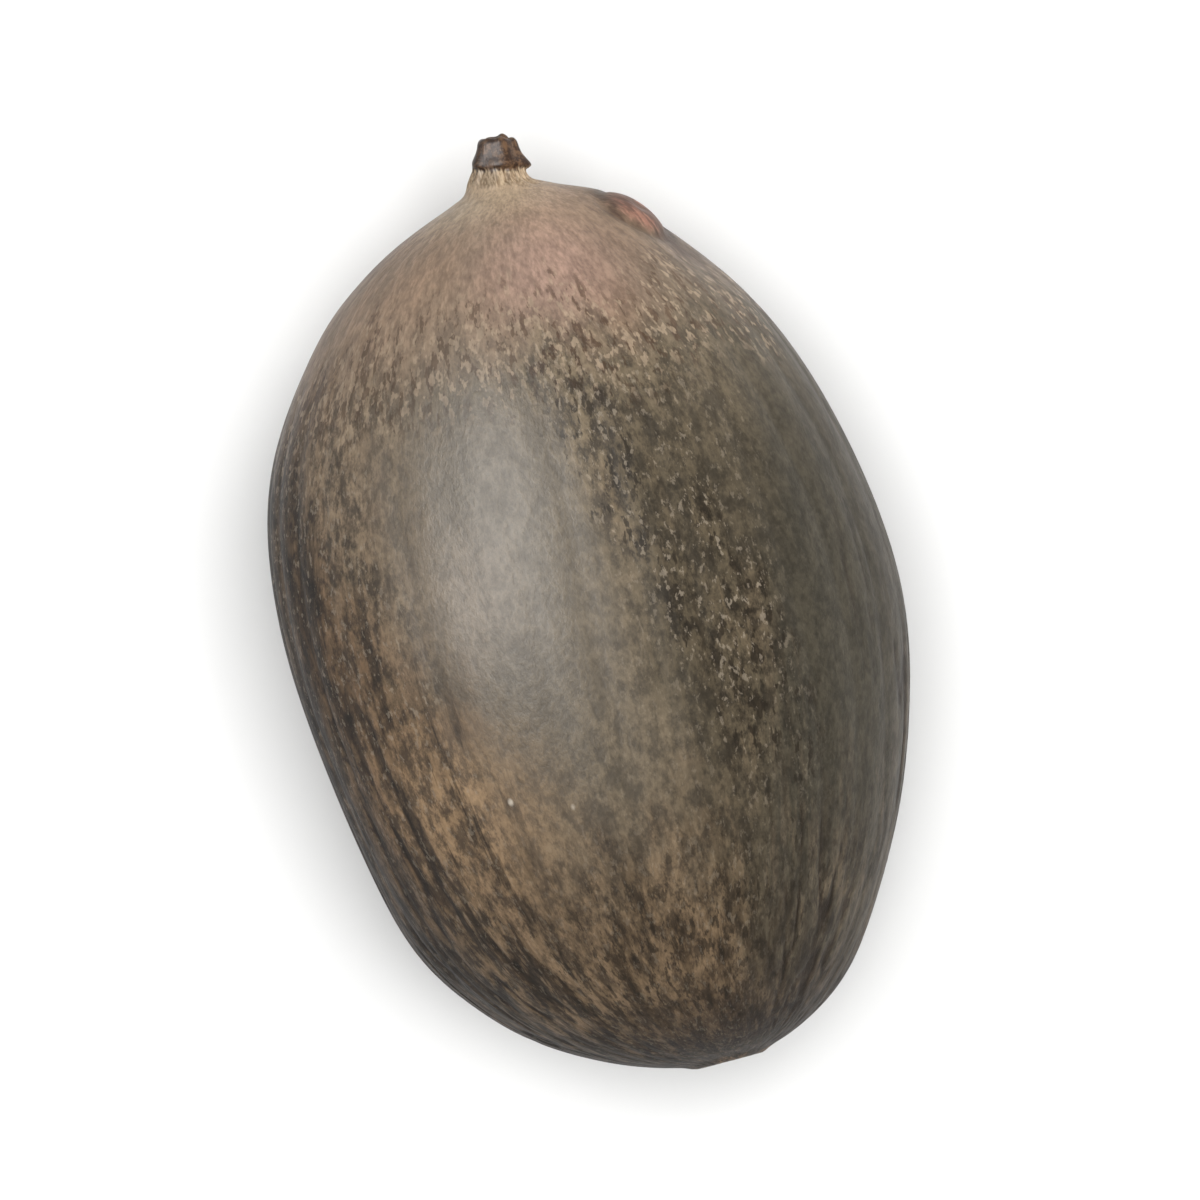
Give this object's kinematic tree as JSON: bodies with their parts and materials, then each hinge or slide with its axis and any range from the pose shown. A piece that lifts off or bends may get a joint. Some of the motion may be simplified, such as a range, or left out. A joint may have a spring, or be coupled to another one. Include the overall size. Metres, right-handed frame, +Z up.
{
  "type": "lotus seed",
  "caption": "Ripe, dry lotus seed: an oval, finely ribbed nutlet with a withered style and a pore bump at the tip and a scar at the base, lying on its side.",
  "frame": {"origin": "middle of the bounding box at its bottom, on the surface that the seed rests on", "axes": "+Z up; +Y along the seed towards the tip with the withered style; +X across, on the side of the pore bump"},
  "size_m": [0.011, 0.017, 0.0104],
  "materials": {
    "seed_coat": "hard, woody coat, grey-brown with a thin waxy bloom, half matt"
  },
  "bodies": {
    "root": {"lotus_seed": "seed_coat"}
  },
  "joints": []
}
